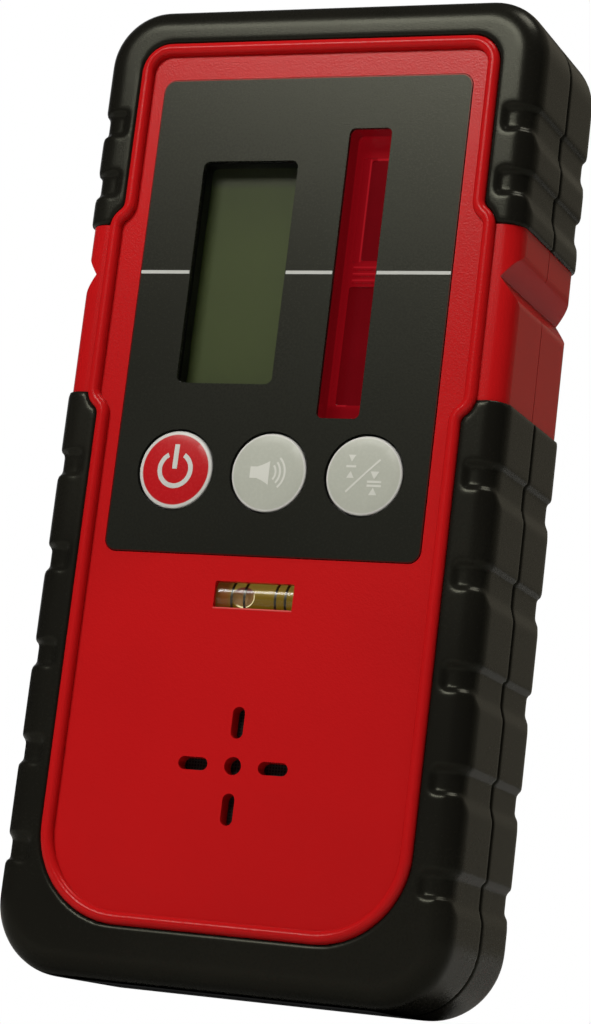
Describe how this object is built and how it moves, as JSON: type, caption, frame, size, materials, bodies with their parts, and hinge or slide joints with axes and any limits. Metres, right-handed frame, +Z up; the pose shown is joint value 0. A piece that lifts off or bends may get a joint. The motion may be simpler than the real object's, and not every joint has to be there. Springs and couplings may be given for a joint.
{
  "type": "laser receiver",
  "caption": "Hand-held laser level receiver: red case in ribbed black armour with display, tall sensor window, keys, bubble vial, buzzer, battery door and rear clamp thread.",
  "frame": {"origin": "middle of the base, at the centre of the footprint", "axes": "+Z up along the long axis, -Y out of the front face, +X to the right seen from the front"},
  "size_m": [0.078, 0.0322, 0.163],
  "materials": {
    "red_case": "fine satin grain",
    "armour": "satin moulded rubber",
    "seal": "matt",
    "screw_steel": "bright zinc",
    "label": "fine texture, satin",
    "clear_lens": "clear",
    "black_plastic": "matt",
    "display": "blank olive display",
    "sensor_red": "deep red tint",
    "chip": "matt",
    "board": "satin",
    "red_key": "satin",
    "grey_key": "satin",
    "white_plastic": "matt",
    "vial_clear": "clear",
    "vial_liquid": "tinted",
    "mesh": "fine weave",
    "cell": "plain sleeve",
    "insert_brass": "machined"
  },
  "bodies": {
    "case": {"front_shell": "red_case", "rear_shell": "red_case", "front_upper_armour": "armour", "front_lower_armour": "armour", "rear_upper_armour": "armour", "rear_lower_armour": "armour", "case_gasket": "seal", "case_screws": "screw_steel", "front_label": "label", "lcd_lens": "clear_lens", "lcd_frame": "black_plastic", "lcd_glass": "display", "contact_strips": "seal", "sensor_window": "sensor_red", "sensor_holder": "black_plastic", "photodiodes": "chip", "main_board": "board", "board_chips": "chip", "board_screws": "screw_steel", "key_switches": "black_plastic", "vial_tube": "vial_clear", "vial_liquid": "vial_liquid", "vial_plugs": "white_plastic", "vial_cradle": "white_plastic", "buzzer": "black_plastic", "speaker_mesh": "mesh", "battery_tray": "black_plastic", "battery_cells": "cell", "battery_contacts": "screw_steel", "threaded_insert": "insert_brass"},
    "power_button": {"power_key": "red_key", "power_plunger": "white_plastic"},
    "volume_button": {"volume_key": "grey_key", "volume_plunger": "white_plastic"},
    "precision_button": {"precision_key": "grey_key", "precision_plunger": "white_plastic"},
    "door": {"battery_door": "red_case"}
  },
  "joints": [
    {"name": "power_press", "type": "slide", "parent": "case", "child": "power_button", "axis": [0, 1, 0], "range_m": [0, 0.0007], "stiffness_N_per_m": 600},
    {"name": "volume_press", "type": "slide", "parent": "case", "child": "volume_button", "axis": [0, 1, 0], "range_m": [0, 0.0007], "stiffness_N_per_m": 600},
    {"name": "precision_press", "type": "slide", "parent": "case", "child": "precision_button", "axis": [0, 1, 0], "range_m": [0, 0.0007], "stiffness_N_per_m": 600},
    {"name": "door_hinge", "type": "hinge", "parent": "case", "child": "door", "pos_m": [0, 0.0133, 0.0166], "axis": [-1, 0, 0], "range_deg": [0, 90]}
  ]
}
